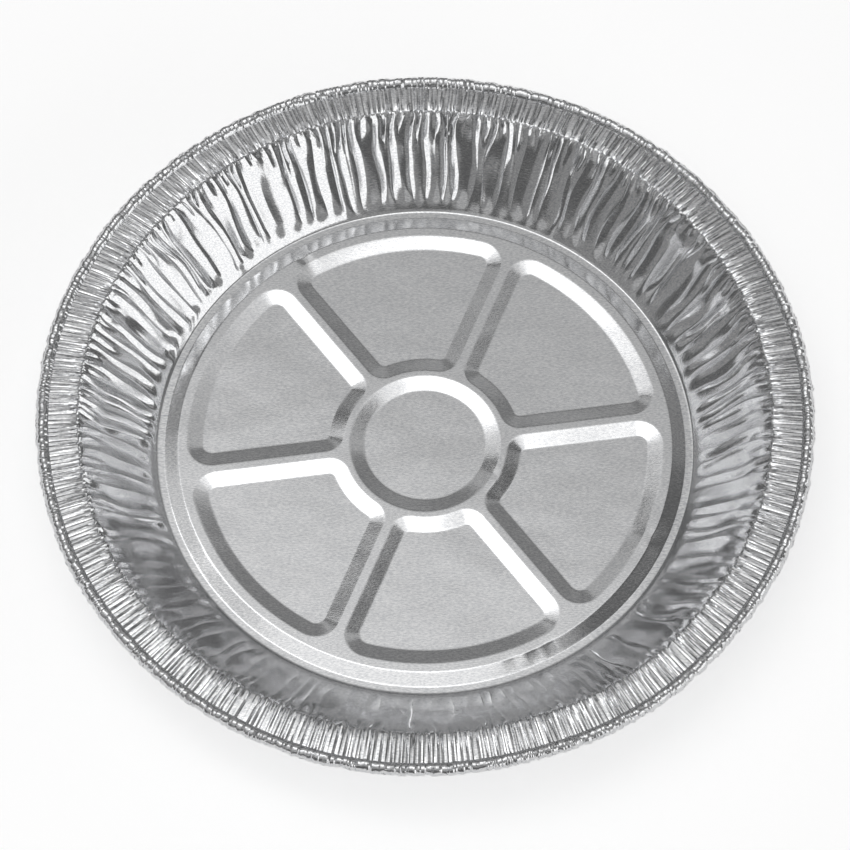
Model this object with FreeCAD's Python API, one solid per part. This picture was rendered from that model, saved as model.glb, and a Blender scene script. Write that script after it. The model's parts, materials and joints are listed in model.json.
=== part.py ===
# Round foil pie tin, pressed from one disc of thin aluminium foil.
# It is one piece: a base embossed with a hub and six sunk pads between raised spokes, a sloping
# wall gathered into flutes, a flat pleated flange, and a bead rolled over at the very edge.
#
# Frame: +Z up, origin on the table under the centre of the base.
# The foil has a top side and an underside. Each is drawn by the same functions, half the foil's
# thickness off its middle, and the two are sewn together at the cut edge inside the bead.

import FreeCAD, Part

import math
import os

from FreeCAD import Vector

# Driving dimensions, in millimetres and degrees.
foil_t = 0.10            # thickness of the foil

foot_r = 85.8            # outer edge of the foot ring, where the wall starts
foot_w = 2.4             # flat ring that stands on the table
ring_bevel_w = 4.5       # ramp from the foot ring up to the web
emboss_h = 1.3           # height of the web and spokes above the foot ring
pad_lift = 0.15          # height of the floors of the pads and the hub above the foot ring

web_ring_w = 2.8         # flat web between that ramp and the pads
spoke_count = 6
spoke_w = 2.3            # flat top of a spoke
spoke_angle = 7.7        # direction of the first spoke, from +X
pad_bevel_w = 4.9        # ramp from the web down to a pad's floor
pad_outer_corner_r = 3.1  # corners of a pad's floor, at the base's edge
pad_inner_corner_r = 1.7  # corners of a pad's floor, at the hub

hub_floor_r = 19.4       # flat disc at the centre
hub_bevel_w = 4.8        # ramp from the hub's floor up to the web
hub_web_w = 1.8          # web between the hub's ramp and the pads

wall_h = 26.2            # height of the flange above the table
wall_run = 22.8          # how far the wall leans out over that height
flute_count = 120        # gathers round the wall
flute_toe_h = 3.4        # height of the flutes' toes, where they fade into the foot
flute_toe_depth = 0.30   # half depth of a flute at its toe
flute_depth = 0.62       # half depth of a flute at the flange
flute_wander = 0.32      # share by which pitch, depth and toe differ from flute to flute

flange_w = 9.55          # flat flange, from the wall to the bead
flange_rest_w = 0.8      # strip of it beside the bead, where the pleats have run out
pleats_per_flute = 2
pleat_depth = 0.26       # half depth of a pleat, at the wall
pleat_wander = 0.35      # share by which a pleat's depth differs from its neighbours

bead_d = 4.15            # outside diameter of the rolled bead
bead_rise = 1.55         # how far the bead stands above the flange
bead_open = 44.0         # degrees of the roll left open under the flange
bead_crease = 0.05       # share by which the creases across the bead swell and pinch it
BEAD_FLATS = 8           # creased foil rolls up in flats
BEAD_SIDES = 96

# Chords of the round stretches of a pad: half its outer arc, a corner, half its inner arc.
EDGE_FLATS = 5
CORNER_FLATS = 4
HUB_FLATS = 2

# Radii and heights that follow from them.
half_t = foil_t / 2
web_outer_r = foot_r - foot_w - ring_bevel_w
pad_outer_r = web_outer_r - web_ring_w
hub_outer_r = hub_floor_r + hub_bevel_w
pad_inner_r = hub_outer_r + hub_web_w
flange_in_r = foot_r + wall_run
wall_slope = math.atan2(wall_h, wall_run)

WALL_SIDES = 2 * flute_count
FLANGE_SIDES = WALL_SIDES * pleats_per_flute
TOP, UNDER = 1, -1


def polar(radius, angle, height):
    return Vector(radius * math.cos(angle), radius * math.sin(angle), height)


def triangle(a, b, c):
    return Part.Face(Part.makePolygon([a, b, c, a]))


def circle_wire(radius, height):
    return Part.Wire(Part.makeCircle(radius, Vector(0, 0, height)))


def closed_wire(points):
    return Part.makePolygon(points + points[:1])


def flat(wires):
    """Flat face inside the widest wire, with the other wires as its holes."""
    return Part.makeFace(wires, "Part::FaceMakerBullseye")


def ramp(radius_a, height_a, radius_b, height_b):
    """Sloping ring between two circles about the tin's axis."""
    line = Part.makeLine(Vector(radius_a, 0, height_a), Vector(radius_b, 0, height_b))
    return line.revolve(Vector(0, 0, 0), Vector(0, 0, 1), 360)


def wander(turn, kind):
    """Smooth number from -1 to 1 for a share of a turn, so that no two gathers are alike."""
    total = 0
    for waves in (17, 29, 43):
        total += math.sin(waves * (2 * math.pi * turn + kind))
    return total / 3


def arc(centre, radius, start, end, chords):
    """Points of a round stretch, evenly spaced from its first to its last."""
    points = []
    for number in range(chords + 1):
        angle = start + (end - start) * number / chords
        points.append((centre[0] + radius * math.cos(angle), centre[1] + radius * math.sin(angle)))
    return points


# The foil's middle line, from the foot ring out to the end of the roll.

FOOT, TOE, CORNER, PLEAT_END, ROOT = range(1, 6)

bead_middle_r = bead_d / 2 - half_t
bead_centre_z = wall_h + bead_rise - bead_d / 2
bead_root_lift = wall_h - half_t - bead_centre_z
bead_centre_r = flange_in_r + flange_w + math.sqrt(bead_middle_r**2 - bead_root_lift**2)


def bead_line():
    """Middle of the rolled foil, from the flange over the top and back under it."""
    start = math.pi - math.asin(bead_root_lift / bead_middle_r)
    end = start - math.radians(360 - bead_open)
    return arc((bead_centre_r, bead_centre_z), bead_middle_r, start, end, BEAD_FLATS)


def middle_line():
    """The section as (radius, height) points. The names above number the ones that are used."""
    toe_share = flute_toe_h / wall_h
    flange_z = wall_h - half_t
    wall = [
        (foot_r - foot_w, half_t),
        (foot_r, half_t),
        (foot_r + wall_run * toe_share, flute_toe_h),
        (flange_in_r, flange_z),
        (flange_in_r + flange_w - flange_rest_w, flange_z),
    ]
    return wall + bead_line()


def across(a, b):
    """Unit step square to the line from a to b, towards the foil's top side."""
    length = math.hypot(b[0] - a[0], b[1] - a[1])
    return (a[1] - b[1]) / length, (b[0] - a[0]) / length


def side_line(skin):
    """The middle line moved to one side of the foil, mitred at each bend."""
    line = middle_line()
    steps = [across(a, b) for a, b in zip(line, line[1:])]
    moved = []
    for (radius, height), before, after in zip(line, steps[:1] + steps, steps + steps[-1:]):
        reach = skin * half_t / (1 + before[0] * after[0] + before[1] * after[1])
        moved.append((radius + reach * (before[0] + after[0]), height + reach * (before[1] + after[1])))
    return moved


SIDE_LINES = {skin: side_line(skin) for skin in (TOP, UNDER)}


# The embossed base.

def pad_outline(number, inset, height):
    """Outline of one pad: an arc at the base's edge, one at the hub, two sides and four corners."""
    outer = pad_outer_r - inset
    inner = pad_inner_r + inset
    side = spoke_w / 2 + inset
    outer_corner = pad_outer_corner_r + pad_bevel_w - inset
    inner_corner = pad_inner_corner_r + pad_bevel_w - inset

    # One half is drawn beside +X, from the middle of the outer arc to the middle of the inner one.
    axis = (0, 0)
    spoke = math.pi / spoke_count
    outer_reach = outer - outer_corner
    inner_reach = inner + inner_corner
    outer_ray = spoke - math.asin((side + outer_corner) / outer_reach)
    inner_ray = spoke - math.asin((side + inner_corner) / inner_reach)
    outer_centre = (outer_reach * math.cos(outer_ray), outer_reach * math.sin(outer_ray))
    inner_centre = (inner_reach * math.cos(inner_ray), inner_reach * math.sin(inner_ray))
    to_spoke = spoke + math.pi / 2
    half = arc(axis, outer, 0, outer_ray, EDGE_FLATS)
    half += arc(outer_centre, outer_corner, outer_ray, to_spoke, CORNER_FLATS)[1:]
    half += arc(inner_centre, inner_corner, to_spoke, inner_ray + math.pi, CORNER_FLATS)
    half += arc(axis, inner, inner_ray, 0, HUB_FLATS)[1:]
    outline = half + [(x, -y) for x, y in reversed(half[1:-1])]

    turn = math.radians(spoke_angle) + (2 * number + 1) * spoke
    return [polar(math.hypot(x, y), turn + math.atan2(y, x), height) for x, y in outline]


def base_faces(skin, foot):
    """Foot ring, ramps, raised web with its spokes, and the sunk floors of the pads and the hub."""
    foot_z = half_t + skin * half_t
    web_z = foot_z + emboss_h
    floor_z = foot_z + pad_lift
    foot_in_r = foot_r - foot_w
    tops = [pad_outline(number, 0, web_z) for number in range(spoke_count)]
    floors = [pad_outline(number, pad_bevel_w, floor_z) for number in range(spoke_count)]
    web = [circle_wire(web_outer_r, web_z), circle_wire(hub_outer_r, web_z)]
    faces = [
        flat([closed_wire(foot), circle_wire(foot_in_r, foot_z)]),
        flat(web + [closed_wire(top) for top in tops]),
        flat([circle_wire(hub_floor_r, floor_z)]),
        ramp(foot_in_r, foot_z, web_outer_r, web_z),
        ramp(hub_outer_r, web_z, hub_floor_r, floor_z),
    ]
    for top, floor in zip(tops, floors):
        corners = zip(top, top[1:] + top[:1], floor[1:] + floor[:1], floor)
        faces += [flat([closed_wire(list(four))]) for four in corners]
        faces.append(flat([closed_wire(floor)]))
    return faces


# The gathered wall, the pleated flange and the bead, as rings of points. On the wall, even points
# are the flutes' hollows and odd ones their crests, which stand into the tin.

def wall_angle(number):
    step = 2 * math.pi / WALL_SIDES
    return step * (number + flute_wander * wander(number / WALL_SIDES, 1))


def flange_angle(number):
    """Pleats share the space between two edges of a flute evenly."""
    whole, part = divmod(number, pleats_per_flute)
    start = wall_angle(whole)
    return start + (wall_angle(whole + 1) - start) * part / pleats_per_flute


def sign(number):
    """-1 for an even number, 1 for an odd one."""
    return 1 if number % 2 else -1


def foot_ring(skin):
    """Where the hollows between the flutes reach the foot ring."""
    radius, height = SIDE_LINES[skin][FOOT]
    return [polar(radius, wall_angle(2 * flute), height) for flute in range(flute_count)]


def toe_ring(skin):
    """The flutes' toes, each at its own height and depth."""
    radius, height = SIDE_LINES[skin][TOE]
    ring = []
    for number in range(WALL_SIDES):
        turn = number / WALL_SIDES
        climb = flute_wander * wander(turn, 2) * flute_toe_h
        inward = sign(number) * flute_toe_depth * (1 + flute_wander * wander(turn, 3))
        out = climb / math.tan(wall_slope) - inward * math.sin(wall_slope)
        up = climb + inward * math.cos(wall_slope)
        ring.append(polar(radius + out, wall_angle(number), height + up))
    return ring


def corner_ring(skin):
    """Where the wall turns into the flange: flutes move it in and out, pleats up and down."""
    radius, height = SIDE_LINES[skin][CORNER]
    ring = []
    for number in range(FLANGE_SIDES):
        turn = number / FLANGE_SIDES
        whole, part = divmod(number, pleats_per_flute)
        side = sign(whole) * (1 - 2 * part / pleats_per_flute)
        inward = side * flute_depth * (1 + flute_wander * wander(turn, 3)) / math.sin(wall_slope)
        up = sign(number) * pleat_depth * (1 + pleat_wander * wander(turn, 4))
        ring.append(polar(radius - inward, flange_angle(number), height + up))
    return ring


def pleat_end_ring(skin):
    radius, height = SIDE_LINES[skin][PLEAT_END]
    return [polar(radius, flange_angle(number), height) for number in range(FLANGE_SIDES)]


def bead_ring(skin, station):
    """One ring of the roll. The first lies flat on the flange, and creases shape the others."""
    radius, height = SIDE_LINES[skin][station]
    ring = []
    for number in range(BEAD_SIDES):
        turn = number / BEAD_SIDES
        crease = 0 if station == ROOT else bead_crease * sign(number) * wander(turn, 5)
        out = (radius - bead_centre_r) * crease
        up = (height - bead_centre_z) * crease
        ring.append(polar(radius + out, 2 * math.pi * turn, height + up))
    return ring


def band(inner, outer):
    """Facets between two rings of equally many points."""
    faces = []
    for number in range(len(inner)):
        faces.append(triangle(inner[number - 1], inner[number], outer[number - 1]))
        faces.append(triangle(inner[number], outer[number], outer[number - 1]))
    return faces


def toe_band(feet, toes):
    """Each flute starts with a facet that climbs off the foot ring, and has one each side of it."""
    faces = []
    for flute in range(flute_count):
        hollow, crest = toes[2 * flute - 2], toes[2 * flute - 1]
        faces.append(triangle(feet[flute - 1], feet[flute], crest))
        faces.append(triangle(feet[flute - 1], crest, hollow))
        faces.append(triangle(feet[flute], toes[2 * flute], crest))
    return faces


def wall_band(toes, corners):
    """Each side of a flute fans out at the top to the pleats that start there."""
    middle = pleats_per_flute // 2
    faces = []
    for number in range(WALL_SIDES):
        first, second = toes[number - 1], toes[number]
        start = (number - 1) * pleats_per_flute
        fan = [corners[start + step] for step in range(pleats_per_flute)]
        fan.append(corners[number * pleats_per_flute])
        faces.append(triangle(first, second, fan[middle]))
        for step in range(pleats_per_flute):
            low = first if step < middle else second
            faces.append(triangle(low, fan[step + 1], fan[step]))
    return faces


def side_faces(skin):
    """One side of the foil, from the centre of the base to the cut edge inside the roll."""
    feet = foot_ring(skin)
    toes = toe_ring(skin)
    corners = corner_ring(skin)
    pleat_ends = pleat_end_ring(skin)
    roll = [bead_ring(skin, ROOT + flat_number) for flat_number in range(BEAD_FLATS + 1)]
    faces = base_faces(skin, feet)
    faces += toe_band(feet, toes)
    faces += wall_band(toes, corners)
    faces += band(corners, pleat_ends)
    faces.append(flat([closed_wire(roll[0]), closed_wire(pleat_ends)]))
    for inner, outer in zip(roll, roll[1:]):
        faces += band(inner, outer)
    return faces


def pie_tin():
    last = ROOT + BEAD_FLATS
    faces = side_faces(TOP) + side_faces(UNDER) + band(bead_ring(TOP, last), bead_ring(UNDER, last))
    shell = Part.makeCompound(faces)
    shell.sewShape()
    solid = Part.makeSolid(shell.Shells[0])
    if solid.Volume < 0:
        solid.reverse()
    return solid


os.makedirs("parts", exist_ok=True)
tin = pie_tin()
box = tin.BoundBox
print("faces", len(tin.Faces), "volume", round(tin.Volume, 1), "valid", tin.isValid())
print("size", round(box.XLength, 2), round(box.YLength, 2), round(box.ZLength, 2), "from", round(box.ZMin, 3))
tin.exportStep("parts/pie_tin.step")
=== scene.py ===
# %% [markdown]
# # A foil pie tin
#
# The tin is one disc of aluminium foil a tenth of a millimetre thick, pressed in a single stroke.
# The press draws a flat base and embosses it, gathers the spare foil of the wall into flutes,
# folds the flange into fine pleats, and rolls the edge over into a bead. Nothing is added after
# that, so the whole tin is modelled as one thin sheet and gets one finish.
#
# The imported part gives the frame: its box, and the flat ring that the tin stands on. The new
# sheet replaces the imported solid, so it starts from those sizes.

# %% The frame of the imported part

import json
import math
import random

import bmesh
import bpy
from mathutils import Matrix, Vector, noise


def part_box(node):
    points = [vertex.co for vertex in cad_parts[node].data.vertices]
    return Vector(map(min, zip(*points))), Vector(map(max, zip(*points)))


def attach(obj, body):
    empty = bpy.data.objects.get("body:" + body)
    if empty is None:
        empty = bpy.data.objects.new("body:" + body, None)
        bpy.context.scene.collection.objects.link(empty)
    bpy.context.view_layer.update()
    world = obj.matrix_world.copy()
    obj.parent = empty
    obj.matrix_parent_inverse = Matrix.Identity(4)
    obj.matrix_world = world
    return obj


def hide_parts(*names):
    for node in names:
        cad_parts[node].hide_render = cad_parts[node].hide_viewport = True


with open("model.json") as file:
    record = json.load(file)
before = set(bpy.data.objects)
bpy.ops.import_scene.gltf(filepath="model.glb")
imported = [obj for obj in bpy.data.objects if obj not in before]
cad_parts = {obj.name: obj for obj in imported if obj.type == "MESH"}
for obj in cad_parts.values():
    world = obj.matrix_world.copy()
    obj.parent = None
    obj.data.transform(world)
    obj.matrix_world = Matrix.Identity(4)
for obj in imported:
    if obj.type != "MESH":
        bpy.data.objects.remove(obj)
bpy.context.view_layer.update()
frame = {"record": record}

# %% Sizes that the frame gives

MM = 0.001
lowest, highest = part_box("pie_tin")
rim_r = (highest.x - lowest.x) / 2 / MM
rim_z = highest.z / MM
foot_ring_r = frame["record"]["mounts"][0]["pos_m"][0] / MM
print(f"rim radius {rim_r:.1f} mm, height {rim_z:.1f} mm, foot ring at {foot_ring_r:.1f} mm")

# %% Sizes of the sheet, in millimetres

foil_t = 0.10
level = foil_t / 2        # the sheet is modelled as the middle of the foil

foot_outer_w = 1.24       # width of the foot ring outside and inside its middle
foot_inner_w = 1.2
ring_ramp_w = 4.5         # ramp from the foot ring up to the web
web_ring_w = 2.8          # level web between that ramp and the pads
web_z = 1.3               # how far the web and spokes stand above the foot ring
floor_z = 0.15            # the floors of the pads and the hub, above the foot ring
foot_r = foot_ring_r + foot_outer_w
foot_in_r = foot_ring_r - foot_inner_w
web_outer_r = foot_in_r - ring_ramp_w
pad_outer_r = web_outer_r - web_ring_w

hub_floor_r = 19.4
hub_ramp_w = 4.8
hub_web_w = 1.8           # level web between the hub's ramp and the pads
hub_outer_r = hub_floor_r + hub_ramp_w
pad_inner_r = hub_outer_r + hub_web_w

SPOKES = 6
spoke_angle = math.radians(7.7)   # direction of the first spoke, from +X
half_spoke_w = 1.15
pad_ramp_w = 4.9

bead_r = 2.02             # radius of the roll, at the middle of the foil
bead_centre_r = rim_r - bead_r - level
bead_centre_z = rim_z - bead_r - level
wall_run = 22.75          # how far the wall leans out
flange_z = 26.15
flange_in_r = foot_r + wall_run
bead_root_r = bead_centre_r - math.sqrt(bead_r**2 - (flange_z - bead_centre_z) ** 2)
print(f"flange {bead_root_r - flange_in_r:.1f} mm wide, wall {math.hypot(wall_run, flange_z):.1f} mm long")

# %% [markdown]
# ## Bends have a radius
#
# Pressed foil never turns on a knife edge: each bend follows the nose of the punch. A bevel could
# round the bends afterwards, but the line that is swept into the sheet is so short that rounding
# it first is simpler. The helper takes corners with a radius and gives a line with arcs in them.

# %% A line with rounded corners


def rounded(corners, arc_steps=2):
    """Points of a line through (x, y, radius) corners, each rounded by its radius."""
    line = [Vector(corners[0][:2])]
    for before, here, after in zip(corners, corners[1:], corners[2:]):
        corner = Vector(here[:2])
        radius = here[2]
        back = (Vector(before[:2]) - corner).normalized()
        ahead = (Vector(after[:2]) - corner).normalized()
        half_turn = back.angle(ahead) / 2
        reach = radius / math.tan(half_turn)
        centre = corner + (back + ahead).normalized() * (radius / math.sin(half_turn))
        start = corner + back * reach - centre
        end = corner + ahead * reach - centre
        for step in range(arc_steps + 1):
            share = step / arc_steps
            line.append(centre + start.slerp(end, share).normalized() * radius)
    line.append(Vector(corners[-1][:2]))
    return line


def along(start, end, shares):
    """Points between two others, at shares of the way."""
    return [start + (end - start) * share for share in shares]


def open_edges(bm, radius, slack=0.05):
    """The open edges of the sheet that lie on a circle about the tin's axis."""
    found = []
    for edge in bm.edges:
        on_circle = all(abs(vert.co.xy.length - radius) < slack for vert in edge.verts)
        if on_circle and len(edge.link_faces) < 2:
            found.append(edge)
    return found


def spun(bm, line, steps):
    """Sweeps a line of (radius, height) points once about the tin's axis."""
    verts = [bm.verts.new((point.x, 0, point.y)) for point in line]
    edges = [bm.edges.new(pair) for pair in zip(verts, verts[1:])]
    bmesh.ops.spin(
        bm, geom=verts + edges, cent=(0, 0, 0), axis=(0, 0, 1),
        angle=2 * math.pi, steps=steps, use_merge=True,
    )


# %% [markdown]
# ## The embossed base
#
# The press stiffens the base with a raised web: an outer ring, a ring round the hub and six
# spokes. Between them lie six sunk pads, and the hub is sunk too. A grid of small faces pushed up
# and down would blur the ramps, and foil shows every wobble in its reflections. So each ramp is
# made on its own, from its outline, and only the level fields between ramps are filled in.

# %% The outline of a pad

pad_outer_corner_r = 8.0  # corners at the upper edge of a pad's ramp, at the rim and at the hub
pad_inner_corner_r = 6.6
OUTER_ARC_STEPS = 16      # steps of half an outline: its outer arc, each corner, its inner arc
CORNER_STEPS = 10
INNER_ARC_STEPS = 5


def arc(centre, radius, start, end, steps):
    """Points of an arc from one angle to another."""
    angles = [start + (end - start) * step / steps for step in range(steps + 1)]
    return [centre + radius * Vector((math.cos(angle), math.sin(angle))) for angle in angles]


def pad_outline(inset):
    """One pad beside +X: an arc at the rim, one at the hub, two sides and four corners."""
    outer = pad_outer_r - inset
    inner = pad_inner_r + inset
    side = half_spoke_w + inset
    outer_corner = pad_outer_corner_r - inset
    inner_corner = pad_inner_corner_r - inset
    spoke = math.pi / SPOKES
    axis = Vector((0, 0))
    outer_ray = spoke - math.asin((side + outer_corner) / (outer - outer_corner))
    inner_ray = spoke - math.asin((side + inner_corner) / (inner + inner_corner))
    outer_centre = (outer - outer_corner) * Vector((math.cos(outer_ray), math.sin(outer_ray)))
    inner_centre = (inner + inner_corner) * Vector((math.cos(inner_ray), math.sin(inner_ray)))
    to_spoke = spoke + math.pi / 2
    half = arc(axis, outer, 0, outer_ray, OUTER_ARC_STEPS)
    half += arc(outer_centre, outer_corner, outer_ray, to_spoke, CORNER_STEPS)[1:]
    half += arc(inner_centre, inner_corner, to_spoke, inner_ray + math.pi, CORNER_STEPS)
    half += arc(axis, inner, inner_ray, 0, INNER_ARC_STEPS)[1:]
    return half + [Vector((point.x, -point.y)) for point in reversed(half[1:-1])]


print(len(pad_outline(0)), "points round a pad")

# %% Ramps

ramp_bend = 1.7           # radius of the bends at the top and the bottom of a ramp
hold = 0.5                # level strip kept beside a ramp, so that the fields stay flat
slope_rows = (0.12, 0.88)  # rows near the ends of a ramp that keep its slope true when shaded smooth
HUB_STEPS = 132
RING_STEPS = 260


def ramp_line(width, drop):
    """Section of a ramp, as (distance, height) from its top edge."""
    bottom = (width, -drop, ramp_bend)
    line = rounded([(-hold, 0, 0), (0, 0, ramp_bend), bottom, (width + hold, -drop, 0)])
    return line[:4] + along(line[3], line[4], slope_rows) + line[4:]


def pad_ramp(bm):
    """The ramp round one pad, extruded ring by ring down its section."""
    line = ramp_line(pad_ramp_w, web_z - floor_z)
    outline = pad_outline(line[0].x)
    verts = [bm.verts.new((point.x, point.y, web_z + level)) for point in outline]
    edges = [bm.edges.new((verts[number - 1], vert)) for number, vert in enumerate(verts)]
    for place in line[1:]:
        made = bmesh.ops.extrude_edge_only(bm, edges=edges)["geom"]
        lowered = [item for item in made if isinstance(item, bmesh.types.BMVert)]
        edges = [item for item in made if isinstance(item, bmesh.types.BMEdge)]
        edges = [edge for edge in edges if all(vert in lowered for vert in edge.verts)]
        for vert, point in zip(lowered, pad_outline(place.x)):
            vert.co = (point.x, point.y, web_z + level + place.y)
    bmesh.ops.triangle_fill(bm, edges=edges, use_beauty=True, normal=(0, 0, 1))


def base_sheet(bm):
    """Pads, hub and rings, joined by the level web."""
    pad_ramp(bm)
    turn = 2 * math.pi / SPOKES
    start = Matrix.Rotation(spoke_angle + turn / 2, 3, "Z")
    bmesh.ops.rotate(bm, verts=bm.verts[:], cent=(0, 0, 0), matrix=start)
    bmesh.ops.spin(
        bm, geom=bm.verts[:] + bm.edges[:] + bm.faces[:], cent=(0, 0, 0), axis=(0, 0, 1),
        angle=turn * (SPOKES - 1), steps=SPOKES - 1, use_duplicate=True,
    )
    top = web_z + level
    hub_ramp = ramp_line(hub_ramp_w, web_z - floor_z)
    spun(bm, [Vector((hub_outer_r - place.x, top + place.y)) for place in hub_ramp], HUB_STEPS)
    ring_ramp = ramp_line(ring_ramp_w, web_z)
    spun(bm, [Vector((web_outer_r + place.x, top + place.y)) for place in ring_ramp], RING_STEPS)
    hub_floor = open_edges(bm, hub_floor_r - hold)
    bmesh.ops.triangle_fill(bm, edges=hub_floor, use_beauty=True, normal=(0, 0, 1))
    web = [edge for edge in bm.edges if len(edge.link_faces) < 2 and edge.verts[0].co.z > web_z]
    bmesh.ops.triangle_fill(bm, edges=web, use_beauty=True, normal=(0, 0, 1))


sheet = bmesh.new()
base_sheet(sheet)
print("base:", len(sheet.verts), "points", len(sheet.faces), "faces")

# %% [markdown]
# ## Wall, flange and bead
#
# All three are one ring about the axis, so a spin of their section makes them at once. The
# section has more points where the foil is worked harder: at the toes of the flutes, at the turn
# into the flange and round the bead. The pleats of the flange are finer than the flutes of the
# wall, so from the flange outwards each step of the spin is cut in two.

# %% The section

# rows of points up the wall and across the flange, as shares of the way
wall_shares = (0.03, 0.07, 0.11, 0.16, 0.25, 0.38, 0.50, 0.59, 0.66, 0.72, 0.78, 0.84, 0.90, 0.96)
flange_shares = (0.35,)
seam_w = 0.5              # the wall's sheet starts this far outside the middle of the foot ring
seam_r = foot_ring_r + seam_w
foot_bend_r = 0.8
flange_bend_r = 1.3
flange_droop = 0.45       # how far the flange falls from the wall to the bead

# corners of the creased roll: radius, height, radius of the bend
bead_top = (bead_root_r + 0.75, rim_z - level, 1.1)
bead_out = (rim_r - level, rim_z - 0.75, 1.5)
bead_low = (rim_r - 0.4, rim_z - 4.0, 1.4)
bead_end = (bead_root_r + 0.9, rim_z - 3.5, 0)


def wall_section():
    """Radius and height of the sheet from the foot ring to the end of the bead."""
    root = (bead_root_r, flange_z - flange_droop / 2, 0)
    wall_top = (flange_in_r, flange_z + flange_droop / 2, flange_bend_r)
    bends = rounded([(seam_r, level, 0), (foot_r, level, foot_bend_r), wall_top, root])
    line = bends[:4] + along(bends[3], bends[4], wall_shares) + bends[4:7]
    line += along(bends[6], bends[7], flange_shares)
    return line + rounded([root, bead_top, bead_out, bead_low, bead_end], 1)


# %% The spin

FLUTES = 120
FLUTE_STEPS = 8
TURN_STEPS = FLUTES * FLUTE_STEPS
NEAR = 0.01               # lengths closer than this, in mm, are the same
fine_z = flange_z - 3     # above this height and outside this radius each step is cut in two
fine_r = flange_in_r - 1


def ring_sheet(bm):
    """Spins the section and cuts its upper rows in two. Gives the new points."""
    before = set(bm.verts)
    spun(bm, wall_section(), TURN_STEPS)
    fine = []
    for edge in bm.edges:
        first, second = [vert.co for vert in edge.verts]
        around = abs(first.z - second.z) < NEAR and abs(first.xy.length - second.xy.length) < NEAR
        if around and first.z > fine_z and first.xy.length > fine_r:
            fine.append(edge)
    bmesh.ops.subdivide_edges(bm, edges=fine, cuts=1, use_grid_fill=True)
    return [vert for vert in bm.verts if vert not in before]


ring = ring_sheet(sheet)
seam = open_edges(sheet, foot_in_r + hold) + open_edges(sheet, seam_r)
bmesh.ops.triangle_fill(sheet, edges=seam, use_beauty=True, normal=(0, 0, 1))
print("whole sheet:", len(sheet.verts), "points", len(sheet.faces), "faces")

# %% [markdown]
# ## Spare foil
#
# A flat disc drawn into a dish has too much foil at the rim, and the spare foil goes into folds
# that no tool shapes: they differ in width, depth, length and lean. Regular flutes would look like
# a fluted mould. So each flute draws its own numbers, from a fixed seed, and the points of the
# spun ring move to it. Eight points across each flute always lie alike: one on the ridge, the
# others in the trough, so that ridges stay crisp.

# %% Each flute's own numbers

rng = random.Random(41)


def uneven(count, spread):
    """Where parts of uneven width start, as shares of one turn, with the full turn at the end."""
    widths = [rng.uniform(1 - spread, 1 + spread) for _ in range(count)]
    starts = [0.0]
    for width in widths:
        starts.append(starts[-1] + width / sum(widths))
    return starts


def draws(count, low, high):
    """Chance numbers between two limits."""
    return [rng.uniform(low, high) for _ in range(count)]


flute_start = uneven(FLUTES, 0.34)
flute_depth = draws(FLUTES, 0.50, 1.15)      # how far a trough lies behind the ridges, in mm
flute_toe = draws(FLUTES, 0.00, 0.09)        # where it starts, as a share of the wall's height
flute_lean = draws(FLUTES, -0.5, 0.5)        # how far it leans, in its own widths
slope_before = draws(FLUTES, 0.16, 0.34)     # widths of a trough's two sides, as shares of a flute
slope_after = draws(FLUTES, 0.16, 0.34)
trough_wave = draws(TURN_STEPS, -0.08, 0.08)
wrinkle_tip = draws(2 * FLUTES, 0.58, 0.84)  # where the short wrinkles of the upper wall end
wrinkle_depth = draws(2 * FLUTES, 0.30, 1.35)

# %% Creases of the flange and the bead

FINE_STEPS = 2 * TURN_STEPS
GROOVE_DEPTH = 0.25       # a crease at least this deep counts as a groove, in mm


def crimps(leaves, leaf_steps, groove, slit, ruffle):
    """Heights in mm at each fine step: a groove, then leaves of foil with a slit between them."""
    heights = []
    while len(heights) < FINE_STEPS:
        heights.append(-rng.uniform(*groove))
        for leaf in range(rng.choice(leaves)):
            if leaf:
                heights.append(-rng.uniform(*slit))
            heights += draws(rng.choice(leaf_steps), -ruffle, ruffle)
    return heights[:FINE_STEPS]


pleat = crimps(
    leaves=(1, 2, 2, 2), leaf_steps=(2, 2, 3), groove=(0.34, 0.52), slit=(0.10, 0.26), ruffle=0.03,
)
bead_crease = crimps(
    leaves=(1, 2, 3), leaf_steps=(3, 4, 5), groove=(0.25, 0.50), slit=(0.10, 0.20), ruffle=0.07,
)
grooves = sum(1 for height in pleat if height < -GROOVE_DEPTH)
print(FLUTES, "flutes,", grooves, "grooves in the flange")

# %% How the folds change round the tin

mean_strength = 0.66      # depth of the flutes, as a share of their draw
far_strength = 0.30       # added at the far side, taken off at the near side
oval_strength = 0.08      # added at the left and right, taken off between them
right_strength = 0.22     # added at the right
mean_wrinkling = 0.80     # the same for the wrinkles
far_wrinkling = 0.20


def ease(low, high, value):
    """Zero up to low, one from high on, and a smooth step between."""
    share = min(max((value - low) / (high - low), 0), 1)
    return share * share * (3 - 2 * share)


def rightness(angle):
    """One at the right, where the flutes run out in long points, and zero on the left half."""
    return max(0, math.cos(angle)) ** 2


def strength(angle):
    """Flutes are deeper on the far side, where the sheet slid more."""
    swing = mean_strength + far_strength * math.sin(angle) + oval_strength * math.cos(2 * angle)
    return swing + right_strength * rightness(angle)


def wrinkling(angle):
    """Wrinkles are deeper on the far side too."""
    return mean_wrinkling + far_wrinkling * math.sin(angle)


print(f"flutes at {strength(math.pi / 2):.2f} of their depth far off, {strength(-math.pi / 2):.2f} near by")

# %% The folds of the wall

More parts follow.
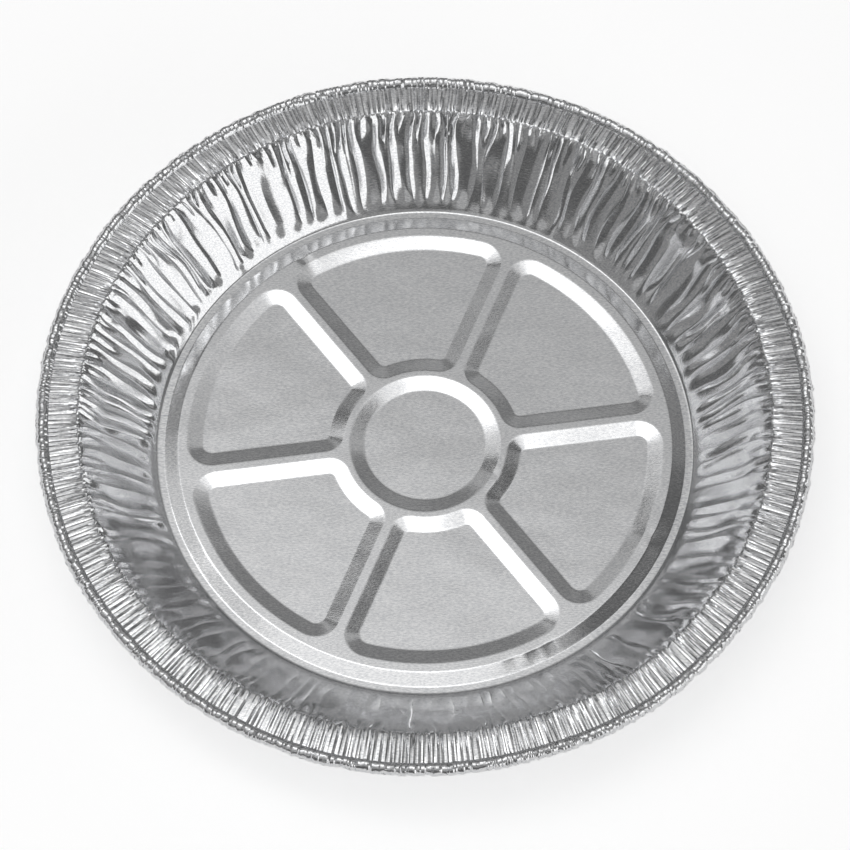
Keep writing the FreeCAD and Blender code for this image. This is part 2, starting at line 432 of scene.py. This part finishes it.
SLOPE_STEPS = 2           # steps of a flute on each of its slopes
TROUGH_STEPS = FLUTE_STEPS - 2 * SLOPE_STEPS
TROUGH = (0, 0.5, 0.82, 0.97, 1, 0.97, 0.82, 0.5)   # depth at each step of a flute, as a share
WRINKLE = (0, 0.75, 1, 0.75)                        # the same for a wrinkle, half a flute wide
WRINKLE_LIFT = 0.5        # wrinkles stand out as far as they go in
toe_round = 0.05          # how much higher a trough starts at its edges than at its middle
tip_round = 0.10
tip_run = 0.08            # share of the height in which a wrinkle reaches its depth
shallowing = 0.5          # share of its depth that a flute loses where the wrinkles start
shallow_zone = (0.65, 0.85)
wave_zone = (0.05, 0.3)


def place_in_flute(flute, step):
    """Where a step of a flute lies, as a share of its width: on a slope or in the trough."""
    after = slope_after[flute]
    before = slope_before[flute]
    if step <= SLOPE_STEPS:
        return after * step / SLOPE_STEPS
    if step >= FLUTE_STEPS - SLOPE_STEPS:
        return 1 - before * (FLUTE_STEPS - step) / SLOPE_STEPS
    return after + (1 - after - before) * (step - SLOPE_STEPS) / TROUGH_STEPS


def flute_fold(flute, step, share, toe_run):
    """How far the flutes stand into the tin, in mm. Each trough has a rounded lower end."""
    from_middle = 2 * step / FLUTE_STEPS - 1
    toe = flute_toe[flute] + toe_round * from_middle**2
    out = -TROUGH[int(step)] * flute_depth[flute] * ease(toe, toe + toe_run, share)
    out *= 1 - shallowing * ease(*shallow_zone, share)
    return out + trough_wave[int(flute * FLUTE_STEPS + step)] * ease(*wave_zone, share)


def wrinkle_fold(flute, step, share):
    """The same for the short wrinkles below the flange."""
    half, small = divmod(step, FLUTE_STEPS / 2)
    wrinkle = int(2 * flute + half)
    tip = wrinkle_tip[wrinkle] + tip_round * (1 - small / 2) ** 2
    depth = wrinkle_depth[wrinkle] * ease(tip, tip + tip_run, share)
    return -depth * (WRINKLE[int(small)] - WRINKLE_LIFT)


def drift(angle, share, grain, start):
    """Slow noise over the wall, from about -0.5 to 0.5, that bends and swells the folds."""
    return noise.noise(Vector((math.cos(angle) * grain, math.sin(angle) * grain, share * 2 + start)))


# %% Where each change sets in and fades

# shares of the wall's height
uneven_zone = (0, 0.08)   # the even foot ring gives way to flutes of their own width
sway_in = (0.05, 0.4)
sway_out = (0.9, 1.0)
level_out = (0.94, 1.0)   # the steps of a flute lie evenly again, as the pleats need
pleat_in = (0.93, 1.0)
# shares of the flange's width, from the wall to the bead
turn_zone = (-0.1, 0.3)   # the folds of the wall die out and stand straight up
notch_zone = (0, 0.25)    # the pleats bite deeper where they leave the wall
calm_zone = (0.5, 1)      # and are shallower beside the bead
crumple_in = (0.97, 1.1)

sway = 0.32               # how far a flute wanders as it rises, in its own widths
lean_gain = 2.2
swelling = 1.1
toe_run = 0.15            # share of the height in which a flute reaches its depth
right_toe_run = 0.20      # added at the right
near_wrinkle_rise = 0.05  # wrinkles start higher on the near side
notching = 0.7
calming = 0.4
SWAY_GRAIN = 13
SWELL_GRAIN = 21
SWELL_START = 9
wall_dir = Vector((flange_in_r - foot_r, flange_z)).normalized()
into_tin = Vector((-wall_dir.y, wall_dir.x))
print(f"wall {math.degrees(math.atan2(wall_dir.y, wall_dir.x)):.0f} degrees from level")

# %% Turning and folding one point


def fine_step(point):
    """The step of the turn at which a point of the even ring lies."""
    turn = math.atan2(point.y, point.x) / (2 * math.pi) % 1
    return round(turn * FINE_STEPS) % FINE_STEPS


def turned(flute, step, share):
    """The angle at which a point lies, where its flute has its own width, lean and sway."""
    following = (flute + 1) % FLUTES
    phase = step / FLUTE_STEPS
    own = place_in_flute(flute, step) + (phase - place_in_flute(flute, step)) * ease(*level_out, share)
    even = (flute + phase) / FLUTES
    uneven_turn = flute_start[flute] + (flute_start[flute + 1] - flute_start[flute]) * own
    lean = flute_lean[flute] * (1 - phase) + flute_lean[following] * phase
    lean *= lean_gain * share * (1 - share)
    wander = sway * drift(2 * math.pi * even, share, SWAY_GRAIN, 0)
    lean += wander * ease(*sway_in, share) * (1 - ease(*sway_out, share))
    uneven_turn += lean / FLUTES
    return 2 * math.pi * (even + (uneven_turn - even) * ease(*uneven_zone, share))


def folded(flute, step, fine, share, across, angle):
    """How far a point of the wall or the flange stands out of the even sheet, in mm."""
    swell = 1 + swelling * drift(angle, share, SWELL_GRAIN, SWELL_START)
    run = toe_run + right_toe_run * rightness(angle)
    out = strength(angle) * swell * flute_fold(flute, step, share, run)
    rise = near_wrinkle_rise * (1 - math.sin(angle))
    out += wrinkling(angle) * wrinkle_fold(flute, step, share - rise)
    out *= 1 - ease(*turn_zone, across)
    notch = 1 + notching * (1 - ease(*notch_zone, across))
    calm = 1 - calming * ease(*calm_zone, across)
    return out + pleat[fine] * notch * ease(*pleat_in, share) * calm


# %% Moving the points

BEAD_START = 0.99         # share of the flange's width at which the bead's own points start
CRUMPLE = ((0.55, 0.35), (0.40, 1.05))   # depth in mm and fineness of the bead's dents
rim_sway = 0.55           # slow bend of the rim, outwards and up, in mm
rim_lift = 0.30
SWAY_FINENESS = 2.3
LIFT_FINENESS = 3.1
LIFT_START = Vector((0, 0, 7))


def moved(point):
    """Where a point of the even ring lies in the gathered sheet."""
    fine = fine_step(point)
    flute, step = divmod(fine / 2, FLUTE_STEPS)
    flute = int(flute)
    share = min(max((point.z - level) / (flange_z - level), 0), 1)
    angle = turned(flute, step, share)
    radius, height = point.xy.length, point.z
    across = (radius - flange_in_r) / (bead_root_r - flange_in_r)
    if across < BEAD_START:
        out = folded(flute, step, fine, share, across, angle)
        upright = ease(*turn_zone, across)
        radius += into_tin.x * out * (1 - upright)
        height += out * (into_tin.y + (1 - into_tin.y) * upright)
    else:
        crumple = sum(depth * noise.noise(point * fineness) for depth, fineness in CRUMPLE)
        out = (bead_crease[fine] + crumple) * ease(*crumple_in, across)
        from_bead = Vector((radius - bead_centre_r, height - bead_centre_z))
        from_bead *= 1 + out / bead_r
        radius = bead_centre_r + from_bead.x
        height = bead_centre_z + from_bead.y
    slow = Vector((math.cos(angle), math.sin(angle), 0))
    radius += rim_sway * share * noise.noise(slow * SWAY_FINENESS)
    height += rim_lift * share * noise.noise(slow * LIFT_FINENESS + LIFT_START)
    return Vector((radius * math.cos(angle), radius * math.sin(angle), height))


# %% Which edges stay sharp

root_z = flange_z - flange_droop / 2
ROOT_REACH = 0.05         # points this close to the bead's inner edge belong to it
RIDGE_STEP = 0
MIDDLE_STEP = FLUTE_STEPS // 2
ridge_crease_z = 2        # height at which a ridge turns crisp
middle_crease_z = 0.7 * flange_z
pleat_crease_r = flange_in_r - 0.5


def at_root(vert):
    """True for a point on the bead's inner edge."""
    return abs(vert.co.xy.length - bead_root_r) + abs(vert.co.z - root_z) < ROOT_REACH


def crisp(edge, steps):
    """True for the bead's inner edge, and where the foil is creased outwards from the base."""
    first, second = edge.verts
    if at_root(first) and at_root(second):
        return True
    if steps.get(first, -1) != steps.get(second, -2):
        return False
    if min(first.co.xy.length, second.co.xy.length) > pleat_crease_r:
        return True
    position = steps[first] / 2 % FLUTE_STEPS
    on_ridge = position == RIDGE_STEP and first.co.z > ridge_crease_z
    return on_ridge or position == MIDDLE_STEP and first.co.z > middle_crease_z


seam_clearance = 0.1      # points on the seam stay where the level foot ring needs them
steps = {vert: fine_step(vert.co) for vert in ring if vert.co.xy.length > seam_r + seam_clearance}
creases = [edge for edge in sheet.edges if crisp(edge, steps)]
for vert in steps:
    vert.co = moved(vert.co)
print(len(steps), "points moved,", len(creases), "sharp edges")

# %% Knocks on the base

# angle in degrees, then in mm the radius, the half length along the radius, and the depth
KNOCKS = (
    (120.5, 80.0, 6.0, 0.85),
    (-26.5, 24.5, 2.0, 0.12),
    (-25.5, 73.5, 2.5, 0.55),
    (-24.6, 81.0, 3.0, 0.65),
    (-70.0, 80.5, 2.0, 0.50),
    (-65.2, 81.0, 2.2, 0.65),
    (-61.0, 80.5, 2.0, 0.50),
)
KNOCK_HALF_W = 1.8


def knocked(point):
    """How far a point of the base is pressed down by the knocks, in mm."""
    down = 0
    for degrees, radius, reach, depth in KNOCKS:
        place = Matrix.Rotation(-math.radians(degrees), 2) @ point.xy
        along_r = 1 - ((place.x - radius) / reach) ** 2
        across = 1 - abs(place.y) / KNOCK_HALF_W
        if along_r > 0 and across > 0:
            down += depth * along_r * across
    return down * min(point.z / web_z, 1)


base_points = [vert for vert in sheet.verts if vert not in steps and vert.co.z > 2 * level]
for vert in base_points:
    vert.co.z -= knocked(vert.co)
below_web = sum(1 for vert in base_points if vert.co.z < web_z)
print(len(KNOCKS), "knocks,", below_web, "points of the base below the web")

# %% From bent sheet to foil

bmesh.ops.recalc_face_normals(sheet, faces=sheet.faces[:])
floor_faces = [face for face in sheet.faces if face.calc_center_median().xy.length < hub_floor_r]
if floor_faces[0].normal.z < 0:
    bmesh.ops.reverse_faces(sheet, faces=sheet.faces[:])
for face in sheet.faces:
    face.smooth = True
for edge in creases:
    edge.smooth = False
bmesh.ops.scale(sheet, vec=(MM, MM, MM), verts=sheet.verts[:])

mesh = bpy.data.meshes.new("pie_tin_foil")
sheet.to_mesh(mesh)
sheet.free()
tin = bpy.data.objects.new("pie_tin_foil", mesh)
bpy.context.scene.collection.objects.link(tin)
gauge = tin.modifiers.new("foil gauge", "SOLIDIFY")
gauge.thickness = foil_t * MM
gauge.offset = 0

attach(tin, "root")
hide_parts("pie_tin")
print("sheet of", len(mesh.polygons), "faces, open edges closed by the foil's own thickness")

# %% [markdown]
# ## Bare aluminium
#
# Rolled foil is a bright metal with fine lines along the direction of rolling, which here is left
# to right, and a slight waviness that bends what it mirrors. A photograph of foil would fix the
# reflections in place, so only the surface is described: its colour, its gloss and its grain.

# %% Arithmetic on shader sockets


class Socket:
    """A value in a material, on which Python arithmetic adds Math nodes."""

    def __init__(self, nodes, socket):
        self.nodes = nodes
        self.socket = socket

    def math(self, operation, *values):
        return self.nodes.add("ShaderNodeMath", {"operation": operation}, dict(enumerate(values)))

    def __add__(self, other):
        return self.math("ADD", self, other)

    def __radd__(self, other):
        return self.math("ADD", other, self)

    def __mul__(self, other):
        return self.math("MULTIPLY", self, other)

    def __rmul__(self, other):
        return self.math("MULTIPLY", other, self)


# %% Nodes of one material


class Nodes:
    """The node tree of a new material, with its Principled shader."""

    def __init__(self, name):
        self.material = bpy.data.materials.new(name)
        self.material.use_nodes = True
        self.tree = self.material.node_tree
        self.shader = self.tree.nodes["Principled BSDF"]

    def put(self, target, value):
        """Links a socket to an input, or sets the input to a plain value."""
        if isinstance(value, Socket):
            self.tree.links.new(value.socket, target)
        else:
            target.default_value = value

    def add(self, kind, settings=None, inputs=None, output=0):
        """Adds a node, sets it up, feeds its inputs and gives one of its outputs."""
        made = self.tree.nodes.new(kind)
        for name, value in (settings or {}).items():
            setattr(made, name, value)
        for name, value in (inputs or {}).items():
            self.put(made.inputs[name], value)
        return Socket(self, made.outputs[output])


# %% The foil

FOIL_DARK = (0.70, 0.71, 0.73, 1)      # between and along the finest rolling lines
FOIL_BRIGHT = (0.99, 0.99, 0.99, 1)
GRAIN = (900, 2900, 2900)  # fineness per metre along X, Y and Z, then the depth in metres
WAVE = (38, 55, 55)
RIPPLE = (160, 230, 230)
GRAIN_DEPTH = 1.4e-5
WAVE_DEPTH = 3e-4
RIPPLE_DEPTH = 1.2e-5
BLUR = 0.08               # roughness of the smoothest spots, and what grain and ripple add
GRAIN_BLUR = 0.09
RIPPLE_BLUR = 0.03
grain_range = {"From Min": 0.3, "From Max": 0.7, "To Min": 0.0, "To Max": 1.0}
MIX_FACTOR, MIX_A, MIX_B, MIX_OUT = 0, 6, 7, 2     # the colour sockets of a Mix node


def noise_at(nodes, place, scale, detail):
    """Noise between 0 and 1 at a place whose axes are first multiplied by scale."""
    stretched = nodes.add("ShaderNodeVectorMath", {"operation": "MULTIPLY"}, {0: place, 1: scale})
    inputs = {"Vector": stretched, "Scale": 1.0, "Detail": detail}
    return nodes.add("ShaderNodeTexNoise", None, inputs, "Fac")


def foil():
    """Bare aluminium with rolling lines, a fine ripple and a slow wave."""
    nodes = Nodes("foil_bright")
    shader = nodes.shader.inputs
    place = nodes.add("ShaderNodeTexCoord", output="Object")
    grain = noise_at(nodes, place, GRAIN, 2.0)
    wave = noise_at(nodes, place, WAVE, 1.0)
    ripple = noise_at(nodes, place, RIPPLE, 2.0)
    height = grain * GRAIN_DEPTH + wave * WAVE_DEPTH + ripple * RIPPLE_DEPTH
    bump = nodes.add("ShaderNodeBump", None, {"Height": height, "Distance": 1.0})
    nodes.put(shader["Normal"], bump)
    nodes.put(shader["Roughness"], BLUR + grain * GRAIN_BLUR + ripple * RIPPLE_BLUR)
    shade = nodes.add("ShaderNodeMapRange", None, {"Value": grain, **grain_range})
    colours = {MIX_FACTOR: shade, MIX_A: FOIL_DARK, MIX_B: FOIL_BRIGHT}
    mixed = nodes.add("ShaderNodeMix", {"data_type": "RGBA"}, colours, MIX_OUT)
    nodes.put(shader["Base Color"], mixed)
    shader["Metallic"].default_value = 1.0
    return nodes.material


mesh.materials.append(foil())
print("foil material of", len(mesh.materials[0].node_tree.nodes), "nodes")

# %% [markdown]
# ## Floor, light and camera
#
# Bright metal shows the room more than itself. The photographed tin has a soft light overhead and
# a darker room behind it and to its right. One broad lamp would turn every ramp that faces it the
# same white. So the ceiling is laid out in level strips side by side, each with a brightness of its
# own, and two upright cards light the inside of the wall. The floor is white and keeps the tin's
# shadow. It glows for the camera, and less where the foil mirrors it, so that the outside of the
# wall shows its folds.

# %% Floor

FLOOR_HALF_W = 12.0       # in metres, as all lengths of the stage
FLOOR_GAP = 0.0001        # keeps the floor and the foot ring from lying in one plane
FLOOR_GLOW = 0.52         # what the camera sees on top of the light that falls on the floor
MIRRORED_GLOW = 0.22      # what the foil mirrors of it
FLOOR_WHITE = (0.96, 0.96, 0.96, 1)

floor_mesh = bpy.data.meshes.new("floor")
ground = bmesh.new()
bmesh.ops.create_grid(ground, x_segments=1, y_segments=1, size=FLOOR_HALF_W)
bmesh.ops.translate(ground, verts=ground.verts[:], vec=(0, 0, -FLOOR_GAP))
ground.to_mesh(floor_mesh)
ground.free()
floor = bpy.data.objects.new("floor", floor_mesh)
bpy.context.scene.collection.objects.link(floor)
pale = Nodes("floor_white")
pale.shader.inputs["Base Color"].default_value = FLOOR_WHITE
pale.shader.inputs["Roughness"].default_value = 1.0
pale.shader.inputs["Specular IOR Level"].default_value = 0.0
pale.shader.inputs["Emission Color"].default_value = (1, 1, 1, 1)
seen = pale.add("ShaderNodeLightPath", output="Is Camera Ray")
mirrored = pale.add("ShaderNodeLightPath", output="Is Glossy Ray")
through = pale.add("ShaderNodeLightPath", output="Is Transmission Ray")
glow = seen * FLOOR_GLOW + (mirrored + through) * MIRRORED_GLOW
pale.put(pale.shader.inputs["Emission Strength"], glow)
floor_mesh.materials.append(pale.material)
print("floor", 2 * FLOOR_HALF_W, "m across")

# %% Light

ROOM_GREY = (0.11, 0.11, 0.11, 1)
light_h = 1.5
light_turn = math.radians(65)     # the overhead lights are strips across this direction

room = bpy.data.worlds.new("room")
bpy.context.scene.world = room
room.use_nodes = True
room.node_tree.nodes["Background"].inputs["Color"].default_value = ROOM_GREY


def soft_lamp(name, width, height, radiance):
    """A rectangular lamp that looks equally bright whatever its size."""
    lamp = bpy.data.lights.new(name, "AREA")
    lamp.shape = "RECTANGLE"
    lamp.size = width
    lamp.size_y = height
    lamp.energy = radiance * math.pi * lamp.size * lamp.size_y
    body = bpy.data.objects.new(name, lamp)
    bpy.context.scene.collection.objects.link(body)
    return body


def strip(name, start, end, left, right, radiance):
    """A level lamp overhead, from start to end along light_turn and from left to right across it."""
    body = soft_lamp(name, end - start, right - left, radiance)
    turn = Matrix.Rotation(light_turn, 4, "Z")
    middle = Vector(((start + end) / 2, -(left + right) / 2, light_h))
    body.matrix_world = turn @ Matrix.Translation(middle)


strip("overhead", -0.15, 0.18, -0.95, 0.14, 1.6)
strip("overhead_near", -0.90, -0.15, -0.55, 0.45, 0.8)
strip("overhead_right", -0.15, 0.18, 0.14, 0.45, 0.85)
strip("overhead_right_end", -0.90, 0.18, 0.45, 0.62, 0.27)
strip("overhead_left", -0.15, 0.36, -1.45, -0.95, 0.5)
strip("overhead_near_left", -0.90, -0.15, -1.45, -0.55, 0.52)
strip("overhead_edge", 0.18, 0.36, -0.95, 0.45, 0.85)
strip("overhead_fade", 0.36, 0.62, -1.3, 0.37, 0.56)
strip("overhead_last", 0.62, 0.82, -0.9, 0.37, 0.36)
strip("overhead_end", 0.82, 1.15, -1.3, 0.42, 0.32)
strip("ceiling_far", 1.15, 1.75, -3.0, 3.0, 0.09)
strip("ceiling_end", 1.75, 3.4, -3.0, 3.0, 0.22)
strip("ceiling_left", -3.0, 0.82, -3.5, -1.45, 0.17)
strip("ceiling_near", -3.0, -0.90, -1.45, 0.8, 0.28)
strip("ceiling_right", -3.0, 0.82, 0.8, 3.0, 0.15)


def card(name, place, width, height, radiance):
    """An upright lamp that faces the tin."""
    body = soft_lamp(name, width, height, radiance)
    body.location = place
    body.rotation_euler = (-Vector((place[0], place[1], 0))).to_track_quat("-Z", "Y").to_euler()


card("right_card", (2.05, -1.33, 0.75), 3.2, 1.3, 1.0)
card("left_card", (-2.1, -1.3, 0.55), 2.2, 0.9, 0.13)
print(len(bpy.data.lights), "lamps")

# %% Camera

camera_data = bpy.data.cameras.new("camera")
camera_data.lens = 145.55         # fitted, with the place, to the circles of the photographed tin
camera_data.sensor_width = 36
camera_data.clip_end = 20
camera = bpy.data.objects.new("camera", camera_data)
camera.location = (0, -0.4818, 0.9890)
aim = Vector((0, 0.0071, 0))      # the point at the middle of the picture
camera.rotation_euler = (aim - camera.location).to_track_quat("-Z", "Y").to_euler()
bpy.context.scene.collection.objects.link(camera)
bpy.context.scene.camera = camera
bpy.context.scene.view_settings.view_transform = "Standard"
print(f"camera {(camera.location - aim).length:.2f} m away")
